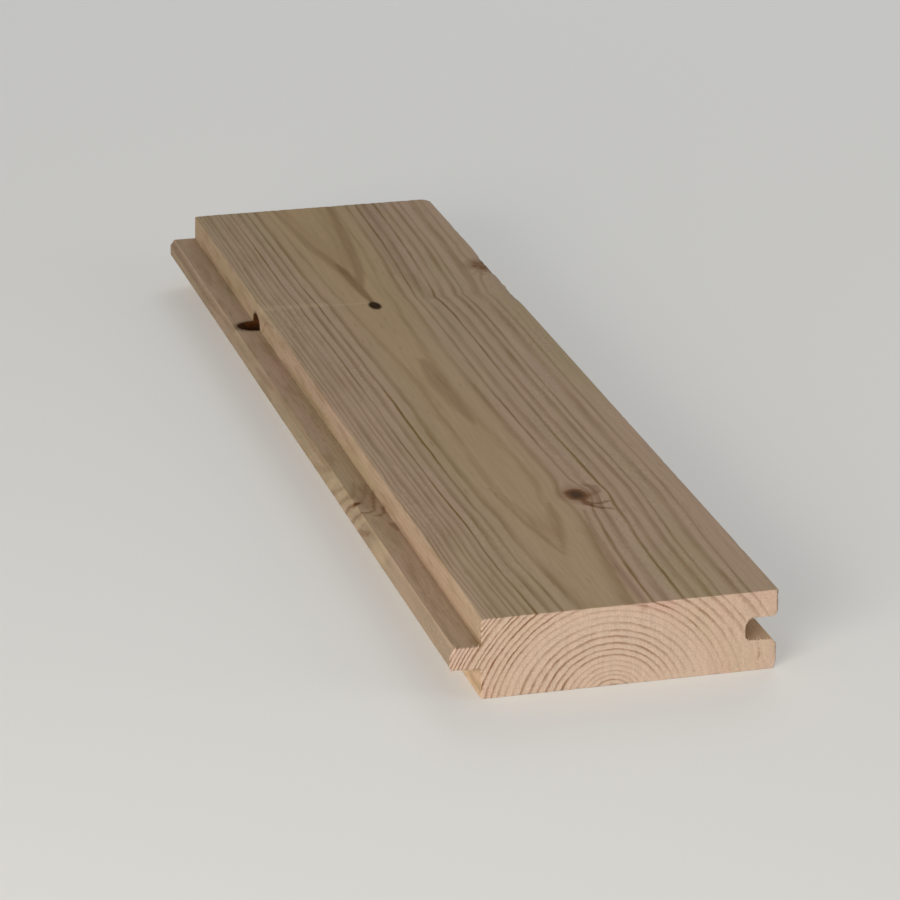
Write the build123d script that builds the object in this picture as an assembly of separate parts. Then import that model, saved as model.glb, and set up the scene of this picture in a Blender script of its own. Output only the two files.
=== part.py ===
from build123d import *
import os

# Solid softwood floorboard, moulded in one piece, with a tongue along one edge and a groove along the other.
# Millimetres. +Y runs along the grain, +X from the tongue to the groove, +Z from the underside to the face.
# The origin is on the underside, in the middle of the length and of the width over the tongue.

# Board
length = 450.0  # sawn end to sawn end
thickness = 28.0  # underside to face
cover_width = 101.4  # tongue-side wall to the end of the upper lip, the width that one board covers
face_arris = 0.8  # rounding along both edges of the face
base_arris = 0.3  # rounding along the tongue-side edge of the underside

# Tongue
tongue_length = 10.6  # wall to nose
tongue_depth = 9.4  # face down to the top of the tongue
tongue_thickness = 8.0  # at the root
tongue_taper = 0.5  # how far the underside of the tongue rises from root to nose
nose_top_run, nose_top_drop = 1.7, 2.4  # slope on the upper edge of the nose
nose_low_run, nose_low_rise = 0.9, 1.2  # slope on the lower edge of the nose
nose_rounding = 0.4  # softened corners of the nose and of the back of the groove

# Groove
side_clearance = 0.15  # above and below a neighbour's tongue
nose_clearance = 0.8  # beyond a neighbour's nose
mouth_top_run, mouth_top_rise = 1.0, 1.2  # lead-in on the upper lip
mouth_low_run, mouth_low_drop = 1.5, 1.9  # lead-in on the lower lip
lip_setback = 0.5  # the lower lip stops short, so that the joint closes at the face
foot_run, foot_rise = 1.0, 2.4  # slope on the groove-side edge of the underside

# Hole that a loose knot left at the root of the tongue. The branch ran up and outwards through that corner.
knot_station = 107.0  # from the middle of the length towards the far end
knot_along, knot_across = 12.0, 7.8  # oval section of the branch at that corner, along and across the grain
knot_rise = 34.0  # degrees that the branch climbs on its way out
knot_widening = 0.1  # what each half-width gains per mm outwards
knot_depth = 14.0  # from the corner into the wood
knot_reach = 12.0  # from the corner outwards, past the nose of the tongue

# Places across the section, from the tongue-side wall and the underside
tongue_top = thickness - tongue_depth
tongue_foot = tongue_top - tongue_thickness
slope = tongue_taper / tongue_length
groove_back = cover_width - tongue_length - nose_clearance
lip_end = cover_width - lip_setback
middle = (cover_width - tongue_length) / 2


def foot_at(reach):
    """Height of the underside of the tongue at a distance from its root."""
    return tongue_foot + slope * reach


def tongue_outline():
    """Corners of the tongue, from the foot of its root, round the nose, to the top of its root."""
    low_reach = tongue_length - nose_low_run
    return [
        (0, tongue_foot),
        (-low_reach, foot_at(low_reach)),
        (-tongue_length, foot_at(low_reach) + nose_low_rise),
        (-tongue_length, tongue_top - nose_top_drop),
        (nose_top_run - tongue_length, tongue_top),
        (0, tongue_top),
    ]


def groove_outline():
    """Corners of the groove, from the upper lip round the back to the lower lip. It follows the tongue."""
    ceiling = tongue_top + side_clearance
    floor_back = foot_at(tongue_length - nose_low_run) - side_clearance
    floor_mouth = foot_at(mouth_low_run) - side_clearance
    return [
        (cover_width, ceiling + mouth_top_rise),
        (cover_width - mouth_top_run, ceiling),
        (groove_back + nose_top_run, ceiling),
        (groove_back, ceiling - nose_top_drop),
        (groove_back, floor_back + nose_low_rise),
        (groove_back + nose_low_run, floor_back),
        (lip_end - mouth_low_run, floor_mouth),
        (lip_end, floor_mouth - mouth_low_drop),
    ]


def rounded(face, corners, radius):
    """The face with the corners at these places rounded."""
    return fillet([face.vertices().sort_by_distance(corner)[0] for corner in corners], radius)


def section():
    """Cross-section of the board."""
    tongue, groove = tongue_outline(), groove_outline()
    base = [(lip_end, foot_rise), (lip_end - foot_run, 0), (0, 0)]
    face_edges = [(0, thickness), (cover_width, thickness)]
    outline = make_face(Polyline(*base, *tongue, *face_edges, *groove, close=True))
    outline = rounded(outline, face_edges, face_arris)
    outline = rounded(outline, base[-1:], base_arris)
    return rounded(outline, tongue[1:5] + groove[2:6], nose_rounding)


def branch_section(reach):
    """Oval section of the lost branch, at a distance outwards from the root of the tongue."""
    outwards = Vector(-1, 0, 0).rotate(Axis.Y, knot_rise)
    corner = Plane((-middle, knot_station, tongue_top), x_dir=(0, 1, 0), z_dir=outwards)
    growth = knot_widening * reach
    return corner.offset(reach) * Ellipse(knot_along / 2 + growth, knot_across / 2 + growth)


def knot_hole():
    """The space of the lost knot, which narrows into the wood."""
    return loft([branch_section(-knot_depth), branch_section(knot_reach)])


def floorboard():
    """The moulded length, sawn square at both ends, less the knot hole."""
    far_end = Plane.XZ.offset(-length / 2)
    board = extrude(far_end * Pos(-middle, 0) * section(), amount=length)
    return board - knot_hole()


parts = {"floorboard": floorboard()}

os.makedirs("parts", exist_ok=True)
for name, shape in parts.items():
    export_step(shape, f"parts/{name}.step")
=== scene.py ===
"""Looks of a solid pine floorboard with a tongue and a groove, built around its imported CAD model.

Lengths are in millimetres until a mesh is made. X runs across the board from the tongue to the groove, Y
along the grain from the near end, which was nearer the crown of the tree, to the far end, and Z from the
underside up to the face. The growth rings, knots and fibres are worked out once, in the solid wood, and every
surface shows its own cut through them, so that the end grain meets the grain of the face.
"""
import logging
import math
from dataclasses import dataclass, field
from enum import Enum
from typing import Any

import bmesh
import bpy
import numpy as np
from mathutils import Euler, Matrix, Vector
from mathutils.geometry import delaunay_2d_cdt


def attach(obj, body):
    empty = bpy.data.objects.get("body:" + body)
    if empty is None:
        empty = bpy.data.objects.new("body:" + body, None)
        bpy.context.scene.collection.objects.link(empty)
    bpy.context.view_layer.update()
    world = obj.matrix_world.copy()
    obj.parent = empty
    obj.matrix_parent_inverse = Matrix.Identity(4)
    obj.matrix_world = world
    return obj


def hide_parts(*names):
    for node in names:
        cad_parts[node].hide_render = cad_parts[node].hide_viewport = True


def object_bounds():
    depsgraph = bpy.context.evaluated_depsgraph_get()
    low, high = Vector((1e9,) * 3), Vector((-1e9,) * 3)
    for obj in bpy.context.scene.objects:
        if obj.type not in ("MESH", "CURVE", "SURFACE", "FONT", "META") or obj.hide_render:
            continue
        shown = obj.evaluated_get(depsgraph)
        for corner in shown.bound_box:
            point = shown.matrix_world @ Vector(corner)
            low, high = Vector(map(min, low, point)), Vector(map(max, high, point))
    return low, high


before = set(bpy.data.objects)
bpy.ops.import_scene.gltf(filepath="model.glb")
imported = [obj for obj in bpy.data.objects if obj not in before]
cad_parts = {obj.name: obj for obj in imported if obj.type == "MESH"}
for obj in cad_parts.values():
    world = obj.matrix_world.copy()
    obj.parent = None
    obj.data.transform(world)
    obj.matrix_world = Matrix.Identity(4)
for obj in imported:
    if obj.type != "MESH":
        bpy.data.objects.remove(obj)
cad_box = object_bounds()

log = logging.getLogger("floorboard")

MM = 0.001
# The board's sizes, and the places of the wall over the tongue and of the tongue's top, in mm.
HALF_WIDTH, HALF_LENGTH, THICKNESS = (round(float(size) / MM, 3) for size in cad_box[1])
WALL = 10.6 - HALF_WIDTH
TONGUE_TOP = THICKNESS - 9.4


def linear(colour: str) -> tuple[float, float, float, float]:
    """Turns an sRGB hex colour into linear RGBA.

    Args:
        colour: six hex digits, with a leading #.

    Returns:
        Red, green, blue and an alpha of 1.
    """
    parts = [int(colour[i:i + 2], 16) / 255 for i in (1, 3, 5)]
    return (*[p / 12.92 if p <= 0.04045 else ((p + 0.055) / 1.055) ** 2.4 for p in parts], 1.0)


def add_node(tree: bpy.types.NodeTree, kind: str, inputs: dict[Any, Any] | None = None,
             **settings: Any) -> bpy.types.Node:
    """Adds a node with its settings, and fills or links its inputs.

    Args:
        tree: the material's or world's node tree.
        kind: the node's type, without the ShaderNode that it begins with.
        inputs: input name or number, with a value or the socket that feeds it.
        settings: properties of the node itself.

    Returns:
        The node.
    """
    node = tree.nodes.new("ShaderNode" + kind)
    for name, value in settings.items():
        setattr(node, name, value)
    for key, value in (inputs or {}).items():
        if isinstance(value, bpy.types.NodeSocket):
            tree.links.new(value, node.inputs[key])
        else:
            node.inputs[key].default_value = value
    return node


def new_material(name: str) -> tuple[bpy.types.Material, bpy.types.NodeTree]:
    """Makes a material that has no nodes yet.

    Args:
        name: the material's name.

    Returns:
        The material and its node tree.
    """
    material = bpy.data.materials.new(name)
    material.use_nodes = True
    material.node_tree.nodes.clear()
    return material, material.node_tree


def tube_faces(rows: int, count: int) -> list[tuple[int, ...]]:
    """Faces of a tube that joins closed rows of points.

    Args:
        rows: how many rows there are.
        count: how many points each row has.

    Returns:
        The four corners of each face, by number.
    """
    faces = []
    for i in range(rows - 1):
        for j in range(count):
            k = (j + 1) % count
            faces.append((i * count + j, (i + 1) * count + j, (i + 1) * count + k, i * count + k))
    return faces


def smoothstep(values: np.ndarray, low: float, high: float) -> np.ndarray:
    """Rises smoothly from 0 at low to 1 at high."""
    t = np.clip((values - low) / (high - low), 0, 1)
    return t * t * (3 - 2 * t)


def softplus(values: np.ndarray) -> np.ndarray:
    """Zero for negative values, the value itself for positive ones, with a soft bend of about 1 mm."""
    return np.logaddexp(0, values)


def ripple(places: np.ndarray, pitch: tuple[float, float, float], seed: int, waves: int = 14) -> np.ndarray:
    """Smooth, seeded unevenness, as a sum of plane waves.

    Args:
        places: points, one a row, in mm.
        pitch: typical wavelength along each axis, in mm.
        seed: picks the waves.
        waves: how many are added.

    Returns:
        One number a point, mostly between -1 and 1.
    """
    rng = np.random.default_rng(seed)
    total = np.zeros(len(places))
    for _ in range(waves):
        wave = rng.normal(size=3) * 2 * math.pi / np.array(pitch) * 0.8
        total += np.sin(places @ wave + rng.uniform(0, 2 * math.pi))
    return total / math.sqrt(waves / 2) / 1.6


class KnotKind(Enum):
    """What became of a branch inside the wood."""

    GROWN_IN = "grown in"  # alive when the wood grew over it: tight and reddish
    PIN = "pin"  # a dead twig, black and tight
    LOST = "lost"  # dead, and fallen out of its bark


@dataclass(frozen=True)
class Branch:
    """A branch inside the stem, as a straight cone from the pith out through the surface.

    Args:
        kind: what became of it.
        place: where its middle comes out.
        bearing: degrees from straight up towards the groove in which it leaves the pith.
        radius: half its width across the grain, where it comes out.
        oval: its width along the grain, over that across it.
        lean: degrees that it leans towards the near end on its way out.
        parting: how far the rings part sideways to pass it.
        parting_reach: over what length along the grain they part.
        swell: how far the rings rise out of the stem at the branch.
        swell_reach: over what distance they rise.
        swell_depth: how deep inside the place they still rise.
        widening: what each half-width gains per mm outwards.
        heart: closeness to the middle at which the wood stops getting darker.
    """

    kind: KnotKind
    place: tuple[float, float, float]
    bearing: float
    radius: float
    oval: float = 1.0
    lean: float = 0.0
    parting: float = 0.0
    parting_reach: float = 10.0
    swell: float = 0.0
    swell_reach: float = 10.0
    swell_depth: float = 9.0
    widening: float = 0.03
    heart: float = 0.0

    def axes(self) -> tuple[np.ndarray, np.ndarray, np.ndarray]:
        """Works out the branch's own directions.

        Returns:
            Unit vectors outwards along the branch, along the grain, and across both.
        """
        b, l = math.radians(self.bearing), math.radians(self.lean)
        out = np.array([math.sin(b) * math.cos(l), -math.sin(l), math.cos(b) * math.cos(l)])
        along = np.array([0.0, 1.0, 0.0]) - out[1] * out
        along /= np.linalg.norm(along)
        return out, along, np.cross(out, along)

    def closeness(self, places: np.ndarray) -> np.ndarray:
        """Measures the distance from the middle of the branch.

        Args:
            places: points, one a row.

        Returns:
            The distance of each, as a share of the branch's half-width there.
        """
        out, along, across = self.axes()
        offset = places - np.array(self.place)
        # Near the pith the cone is kept from narrowing to nothing.
        width = np.maximum(self.radius + self.widening * (offset @ out), 0.3 * self.radius)
        return np.maximum(np.hypot(offset @ along / self.oval, offset @ across) / width, self.heart)

    def push_aside(self, places: np.ndarray) -> np.ndarray:
        """Works out how far sideways the undisturbed wood lay, from where the branch has pushed it.

        Args:
            places: points, one a row.

        Returns:
            The distance across the board, for each point.
        """
        x = places[:, 0] - self.place[0]
        y = places[:, 1] - self.place[1]
        width = self.parting * np.exp(-(y / self.parting_reach) ** 2)
        return np.sign(x) * (np.sqrt(np.maximum(x * x - width * width, 0.05 * x * x)) - np.abs(x))

    def lift(self, places: np.ndarray) -> np.ndarray:
        """Works out how far the rings rise because of the branch.

        Args:
            places: points, one a row.

        Returns:
            The rise at each point.
        """
        out, along, across = self.axes()
        offset = places - np.array(self.place)
        # The swelling is a little longer along the grain than across it.
        far = np.hypot(offset @ along, 1.3 * (offset @ across)) / self.swell_reach
        return self.swell * np.exp(-0.5 * far * far) * smoothstep(offset @ out, -self.swell_depth, 0.0)


class StreakKind(Enum):
    """What a streak shows."""

    # Also painted shade: the dark streaks along the foot of the wall over the tongue, where the corner lies
    # in shade.
    RESIN_AND_SHADE = "resin_and_shade"  # soaked with resin: dark and reddish
    PALE = "pale"  # crushed fibres: lighter than the wood beside them


class Side(Enum):
    """The surface that a streak shows on."""

    FACE = "face"
    TONGUE = "top of the tongue, and the foot of the wall over it"
    WALL = "wall over the tongue"
    NOSE = "nose of the tongue, with the slope over it"
    NEAR_END = "near end"


@dataclass(frozen=True)
class Streak:
    """A thin curved sheet in the wood that shows as a line on one surface.

    Args:
        route: its points in mm, as (x, y) on the face and the top of the tongue, (y, z) on the wall and the
            nose, and (x, z) on the near end.
        widths: half its width at each of those points.
        depth: the share of the full tone that it takes.
        side: the surface.
        kind: what it shows.
    """

    route: tuple[tuple[float, float], ...]
    widths: tuple[float, ...]
    depth: float = 1.0
    side: Side = Side.FACE
    kind: StreakKind = StreakKind.RESIN_AND_SHADE

    def on_side(self, places: np.ndarray) -> np.ndarray:
        """Finds the points that lie on the streak's own surface.

        Args:
            places: points, one a row.

        Returns:
            1 on that surface and 0 elsewhere, with soft borders.
        """
        x, y, z = places.T
        past_wall = smoothstep(WALL - x, -0.5, -0.1)
        if self.side is Side.FACE:
            return smoothstep(z, THICKNESS - 4.0, THICKNESS - 1.0)
        if self.side is Side.TONGUE:
            low = 1 - smoothstep(z, TONGUE_TOP + 0.2, TONGUE_TOP + 1.8)
            return past_wall * low * smoothstep(z, TONGUE_TOP - 1.0, TONGUE_TOP - 0.2)
        if self.side is Side.WALL:
            outside = smoothstep(WALL - x, 0.1, 1.1)
            return past_wall * (1 - outside) * smoothstep(z, TONGUE_TOP - 1.6, TONGUE_TOP)
        if self.side is Side.NOSE:
            return smoothstep(-x, HALF_WIDTH - 2.2, HALF_WIDTH - 1.4) * smoothstep(z, 10.0, 12.0)
        return 1 - smoothstep(y + HALF_LENGTH, 1.0, 3.0)

    def strength(self, places: np.ndarray) -> np.ndarray:
        """Works out how strongly the streak shows.

        Args:
            places: points, one a row.

        Returns:
            A number from 0 to the streak's depth for each point.
        """
        best = np.zeros(len(places))
        axes = {Side.WALL: [1, 2], Side.NOSE: [1, 2], Side.NEAR_END: [0, 2]}.get(self.side, [0, 1])
        flat = places[:, axes]
        for a, b, wa, wb in zip(self.route, self.route[1:], self.widths, self.widths[1:]):
            start, run = np.array(a), np.array(b) - np.array(a)
            t = np.clip((flat - start) @ run / (run @ run), 0, 1)
            off = np.linalg.norm(flat - start - t[:, None] * run, axis=1)
            best = np.maximum(best, 1 - smoothstep(off / (wa + (wb - wa) * t), 0.35, 1.25))
        return best * self.depth * self.on_side(places)


@dataclass(frozen=True)
class Stem:
    """The piece of the tree that the board was cut from. Its pith runs just under the underside.

    Args:
        pith_heights: (place along the grain, height of the pith), which wanders as the tree leaned.
        pith_sides: (place along the grain, place of the pith across the board).
        ring_lines: radii of the dark outer edges of the year rings, straight up from the pith.
        flattening: how much wider the rings are to the sides than straight up.
        lopsided: how much wider they are on the tongue side than on the groove side.
        crowding: (radius, rate) pairs beyond which the tongue-side rings crowd together.
        strengths: (radius, how dark the latewood of the rings there is).
    """

    pith_heights: tuple[tuple[float, float], ...] = (
        (-225, -5.0), (-175, -3.86), (-150, -3.37), (-110, -2.6), (-60, -2.85), (-10, -3.15), (50, -2.75),
        (128, -1.75), (157, -1.12), (225, -0.25))
    pith_sides: tuple[tuple[float, float], ...] = (
        (-225, -0.6), (-171, -1.2), (-150, 0.1), (-110, 0.0), (-60, -0.7), (95, -0.6), (128, -0.5),
        (157, 0.7), (225, 1.6))
    ring_lines: tuple[float, ...] = (
        0.0, 2.2, 4.0, 5.6, 7.3, 9.0, 10.4, 12.3, 14.0, 16.3, 18.2, 20.4, 22.8, 24.9, 27.6, 29.7, 31.8, 34.2,
        36.3, 38.6, 41.3, 43.8, 47.2, 49.1, 54.3, 56.6, 58.9, 61.2, 63.5, 65.8, 68.1, 70.4, 72.7, 75.0)
    flattening: float = 0.16
    lopsided: float = 0.06
    crowding: tuple[tuple[float, float], ...] = ((32.0, 0.3), (40.0, 0.9))
    strengths: tuple[tuple[float, float], ...] = (
        (0, 0.6), (7, 0.8), (9.5, 0.7), (11, 0.4), (14, 0.4), (16, 0.95), (25, 1.0), (27.5, 0.5),
        (29.5, 0.32), (32.4, 0.32), (34, 0.9), (38, 1.0), (75, 1.0))
    branches: tuple[Branch, ...] = (
        # On the face, towards the near end.
        Branch(KnotKind.GROWN_IN, (16.3, -125.5, 28.0), 29.0, 3.7, oval=1.5, lean=10.0,
               parting=4.4, parting_reach=12.0),
        # Black pin knot in the middle of the face.
        Branch(KnotKind.PIN, (-1.0, 92.0, 28.0), 0.0, 2.3, oval=2.0, lean=12.0,
               parting=2.4, parting_reach=9.0),
        # The knot that fell out of the root of the tongue.
        Branch(KnotKind.LOST, (-45.4, 107.0, 18.6), -56.0, 3.9, oval=1.54, swell=2.2, swell_reach=7.0,
               widening=0.1),
        # On the groove-side edge of the face.
        Branch(KnotKind.GROWN_IN, (54.6, 131.0, 28.0), 62.0, 2.6, oval=2.2, lean=10.0,
               swell=3.5, swell_reach=9.0, heart=0.95),
        # Small knot where the top of the tongue meets its nose, with curly grain around it.
        Branch(KnotKind.GROWN_IN, (-54.4, -91.5, 18.4), -69.0, 1.0, oval=1.3, lean=15.0,
               swell=8.0, swell_reach=11.0, heart=0.5),
    )
    streaks: tuple[Streak, ...] = (
        # Resin that ran from the pin knot towards the far end.
        Streak(((-0.9, 96.5), (-1.5, 106.0), (-2.1, 120.0), (-2.6, 137.0), (-3.2, 146.0)),
               (1.1, 2.0, 2.5, 2.2, 0.9), 0.62),
        # It fades into two soft arms, where the face cuts along one year ring.
        Streak(((-1.5, 112.0), (3.2, 135.0), (7.6, 172.0), (12.2, 225.0)),
               (1.4, 2.6, 2.8, 2.2), 0.4),
        Streak(((-2.4, 125.0), (-5.0, 150.0), (-8.6, 175.0), (-11.5, 225.0)),
               (1.2, 2.4, 2.2, 1.6), 0.26),
        # The same at the near end, where a ring comes to a point.
        Streak(((-3.6, -177.0), (0.4, -161.0), (3.6, -146.0), (4.6, -131.0)),
               (0.9, 1.6, 1.6, 0.8), 0.28),
        Streak(((-3.6, -177.0), (-6.2, -161.0), (-8.6, -145.0), (-11.4, -112.0)),
               (0.9, 1.2, 1.0, 0.6), 0.28),
        # A faint brown stain in the middle of the face.
        Streak(((1.0, -46.0), (0.4, -25.0), (-0.2, 0.0), (0.6, 26.0)), (1.0, 3.6, 4.2, 1.8), 0.3),
        # Dark checks that curl away from the knot on the face, like lashes.
        Streak(((17.0, -130.8), (17.3, -134.4), (18.8, -137.2)), (1.2, 1.9, 1.1), 0.9),
        Streak(((18.4, -136.6), (21.0, -139.8), (24.6, -141.0)), (1.3, 1.1, 0.6), 0.66),
        Streak(((18.0, -134.2), (21.6, -135.6), (25.6, -133.8)), (1.3, 1.1, 0.6), 0.66),
        Streak(((20.2, -127.4), (24.2, -124.6), (24.4, -119.6), (21.2, -116.6)),
               (1.0, 2.0, 1.8, 0.8), 0.42),
        # A reddish streak that leads to that knot from the near end.
        Streak(((9.4, -225.0), (10.2, -190.0), (12.0, -160.0), (14.6, -140.0)),
               (1.5, 1.5, 1.2, 0.6), 0.34),
        # Browner wood on the groove side, towards the far end.
        Streak(((22.0, 96.0), (21.0, 130.0), (24.0, 180.0), (28.0, 225.0)),
               (2.0, 4.5, 5.5, 6.0), 0.17),
        # The planer stopped for a moment at the whorl, and left a pale line across.
        Streak(((-45.0, 99.2), (-20.0, 98.2)), (3.6, 2.6), 0.34, kind=StreakKind.PALE),
        Streak(((-26.0, 97.0), (-3.0, 96.0)), (1.1, 0.9), 0.34, kind=StreakKind.PALE),
        # Torn chips beside the knot on the groove-side edge.
        *[Streak(((x, y), (x + 0.7, y + 1.5)), (0.7, 0.5), 0.5) for x, y in (
            (47.2, 120.5), (49.0, 122.5), (50.8, 119.5), (50.2, 126.0), (52.6, 123.5), (48.4, 129.0))],
        # Curly grain round the knot on the tongue: dark lines that bend about it, and a stain under them.
        Streak(((-45.4, -96.5), (-46.8, -102.5), (-48.8, -104.5), (-50.6, -104.0)),
               (1.0, 0.8, 0.7, 0.5), 0.6, Side.TONGUE),
        Streak(((-45.4, -81.5), (-47.4, -90.5), (-49.2, -98.5), (-51.6, -101.0), (-54.4, -100.0)),
               (0.9, 0.9, 0.7, 0.7, 0.7), 0.62, Side.TONGUE),
        Streak(((-46.2, -74.0), (-48.8, -84.0), (-51.4, -89.5), (-54.3, -91.5)),
               (0.7, 0.9, 0.9, 0.6), 0.48, Side.TONGUE),
        Streak(((-49.6, -70.0), (-51.8, -80.0), (-54.3, -86.0)), (0.5, 0.9, 0.7), 0.34, Side.TONGUE),
        Streak(((-46.0, -73.0), (-50.0, -84.0), (-51.0, -95.0)), (2.4, 4.4, 3.0), 0.22, Side.TONGUE),
        Streak(((-45.4, -120.0), (-46.2, -113.0)), (1.0, 1.6), 0.5, Side.TONGUE),
        # The same lines, where they slant down the nose.
        Streak(((-101.0, 18.4), (-99.5, 16.6), (-93.0, 12.0)), (0.8, 1.0, 1.2), 0.4, Side.NOSE),
        Streak(((-116.0, 16.6), (-109.0, 14.6), (-102.0, 12.0)), (1.0, 1.5, 1.4), 0.45, Side.NOSE),
        Streak(((-92.5, 18.6), (-90.0, 17.4), (-84.0, 12.0)), (0.7, 1.0, 1.3), 0.5, Side.NOSE),
        Streak(((-84.0, 18.2), (-81.0, 16.0), (-74.0, 12.0)), (0.8, 1.1, 1.4), 0.32, Side.NOSE),
        Streak(((-74.0, 18.2), (-71.0, 15.6), (-62.0, 12.0)), (0.9, 1.2, 1.5), 0.25, Side.NOSE),
        Streak(((-56.0, 18.4), (-49.0, 15.8), (-37.0, 13.2)), (1.0, 1.5, 1.6), 0.22, Side.NOSE),
        *[Streak(((y, 18.4), (y + 2.4, 16.0), (y + 9.0, 12.0)), (1.8, 2.4, 2.6), 0.34, Side.NOSE,
                 StreakKind.PALE) for y in (-106.0, -96.5, -87.5, -79.0, -66.0)],
        Streak(((-134.0, 18.4), (-128.0, 12.0)), (7.0, 9.0), 0.4, Side.NOSE, StreakKind.PALE),
        # Painted shade: dark streaks along the foot of the wall, in the corner over the top of the tongue.
        Streak(((-225.0, 19.3), (-180.0, 19.0), (-118.0, 19.2)), (0.9, 1.0, 1.2), 0.3, Side.WALL),
        Streak(((-98.0, 18.8), (-20.0, 19.0), (6.0, 19.8), (60.0, 19.6)),
               (0.5, 0.7, 1.3, 1.1), 0.32, Side.WALL),
        Streak(((136.0, 20.4), (160.0, 20.0), (200.0, 19.2)), (0.9, 1.4, 0.8), 0.2, Side.WALL),
        # A darker line high on the wall.
        Streak(((-12.0, 26.2), (30.0, 26.6), (72.0, 27.0)), (0.5, 0.8, 0.6), 0.22, Side.WALL),
        # Darker wood along the edge between the tongue's top and its nose.
        Streak(((-45.0, 17.9), (0.0, 18.2), (48.0, 18.4)), (0.6, 1.0, 0.7), 0.3, Side.NOSE),
        Streak(((36.0, 17.4), (62.0, 17.0)), (0.9, 0.7), 0.28, Side.NOSE),
        Streak(((104.0, 17.6), (150.0, 16.6), (200.0, 16.8), (225.0, 17.2)),
               (0.6, 1.0, 1.3, 0.9), 0.32, Side.NOSE),
        # The bark of the lost knot curves up the wall beside its hole.
        Streak(((79.0, 27.2), (88.0, 25.8), (92.5, 23.6), (94.5, 20.6), (98.0, 18.8)),
               (0.4, 0.7, 0.9, 0.8, 0.6), 0.34, Side.WALL),
        # A short drying check near the groove-side foot of the near end.
        Streak(((49.0, 7.4), (49.4, 5.6), (49.1, 3.8)), (0.35, 0.5, 0.3), 0.6, Side.NEAR_END),
    )

    def from_pith(self, places: np.ndarray) -> tuple[np.ndarray, np.ndarray]:
        """Offsets of each point from the pith, in the wood as if no branch grew.

        Args:
            places: points, one a row.

        Returns:
            The offset across and the offset upwards.
        """
        y = places[:, 1]
        # The pith bends gently: the line through its stations is softened over about 9 mm each way.
        every_mm = np.arange(-240, 240.1, 1.0)
        soften = np.exp(-0.5 * (np.arange(-60, 61) / 9.0) ** 2)
        soften /= soften.sum()
        pith = []
        for stations in (self.pith_sides, self.pith_heights):
            sharp = np.pad(np.interp(every_mm, *np.array(stations).T), 60, mode="edge")
            pith.append(np.interp(y, every_mm, np.convolve(sharp, soften, mode="valid")))
        across = places[:, 0] - pith[0]
        for branch in self.branches:
            if branch.parting:
                across = across + branch.push_aside(places)
        return across, places[:, 2] - pith[1]

    def ring_radius(self, places: np.ndarray) -> np.ndarray:
        """Works out which ring each point lies on.

        Args:
            places: points, one a row.

        Returns:
            The radius of that ring, measured straight up from the pith.
        """
        across, up = self.from_pith(places)
        r = np.hypot(across, up)
        bearing = np.arctan2(across, up)
        shape = self.flattening * (1 - np.cos(bearing)) - self.lopsided * np.sin(bearing)
        radius = r / (1 + shape * r / (r + 2))
        tongue_side = smoothstep(-np.sin(bearing), 0.3, 0.9)
        radius = radius + tongue_side * sum(rate * softplus(radius - start) for start, rate in self.crowding)
        for branch in self.branches:
            if branch.swell:
                radius = radius - branch.lift(places)
        # The whorl of branches at 97 mm drew the rings in a little on the groove side, and less on the other.
        whorl = np.exp(-np.abs(places[:, 1] - 97.0) / 14.0)
        return radius + whorl * (1.6 * smoothstep(across, 12, 24) + 0.5 * smoothstep(-across, 6, 20))

    def fields(self, places: np.ndarray) -> dict[str, np.ndarray]:
        """Works out what the materials need to know about the wood at each point.

        Args:
            places: points, one a row, in mm.

        Returns:
            ring: number of year rings from the pith. fibre: place in mm, with the fibres straightened out.
            late: how dark the latewood is. grown and dead: distance from the nearest such knot, as a share of
                its half-width. resin_and_shade and pale: strength of such streaks, where the first also holds
                the painted shade along the foot of the wall over the tongue. core: 1 in the wood of the
                tree's first
                years, and 0 outside it. tongue: 1 on the tongue and the wall over it, half of that on the
                    face
                beside them, and 0 elsewhere. nose_grey: how far the nose of the tongue is made greyer and
                    darker.
            fresh_and_lit: 1 in the groove and under the tongue, where the wood is painted lighter and warmer:
                painted light in these shaded recesses, and wood that daylight has not greyed.
        """
        x, _, z = places.T
        across, up = self.from_pith(places)
        radius = self.ring_radius(places)
        bearing = np.degrees(np.arctan2(across, up))
        late = np.interp(radius, *np.array(self.strengths).T)
        # The rings fade towards the groove, darken towards the tongue, and stop showing far out in the stem.
        late = late * (1 - 0.8 * smoothstep(bearing, 48, 78))
        late = late * (1 + 0.3 * smoothstep(-bearing, 20, 45))
        late = late * (1 - 0.85 * smoothstep(radius, 55.5, 58.0) * (bearing > 0))
        nearest = {}
        for name, kinds in (("grown", (KnotKind.GROWN_IN,)), ("dead", (KnotKind.PIN, KnotKind.LOST))):
            shares = [b.closeness(places) for b in self.branches if b.kind in kinds]
            nearest[name] = np.minimum(np.min(shares, axis=0), 6.0)
        shown = {kind.value: np.max([s.strength(places) for s in self.streaks if s.kind is kind], axis=0)
                 for kind in StreakKind}
        # The groove and the recess under the tongue are painted lighter and warmer: painted light in these
        # shaded recesses, over wood that daylight has not greyed.
        in_groove = smoothstep(x, 43.6, 44.5) * smoothstep(z, 9.0, 10.4) * (1 - smoothstep(z, 18.9, 20.2))
        under_tongue = smoothstep(WALL - x, -0.8, -0.2) * (1 - smoothstep(z, 10.2, 11.2))
        return {
            "ring": np.interp(radius, self.ring_lines, np.arange(len(self.ring_lines))),
            "fibre": np.stack([across, places[:, 1], up], axis=1),
            "late": late,
            "core": 1 - smoothstep(radius, 28.0, 38.0),
            "tongue": 0.5 * smoothstep(-x, 25.0, 37.0) + 0.5 * smoothstep(WALL - x, -0.6, -0.1),
            # The nose of the tongue is made greyer and darker.
            "nose_grey": smoothstep(-x, 54.0, 55.2) * (0.8 + 0.2 * ripple(places, (30, 60, 12), 29)),
            "fresh_and_lit": in_groove + under_tongue,
            **shown,
            **nearest,
        }


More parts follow.
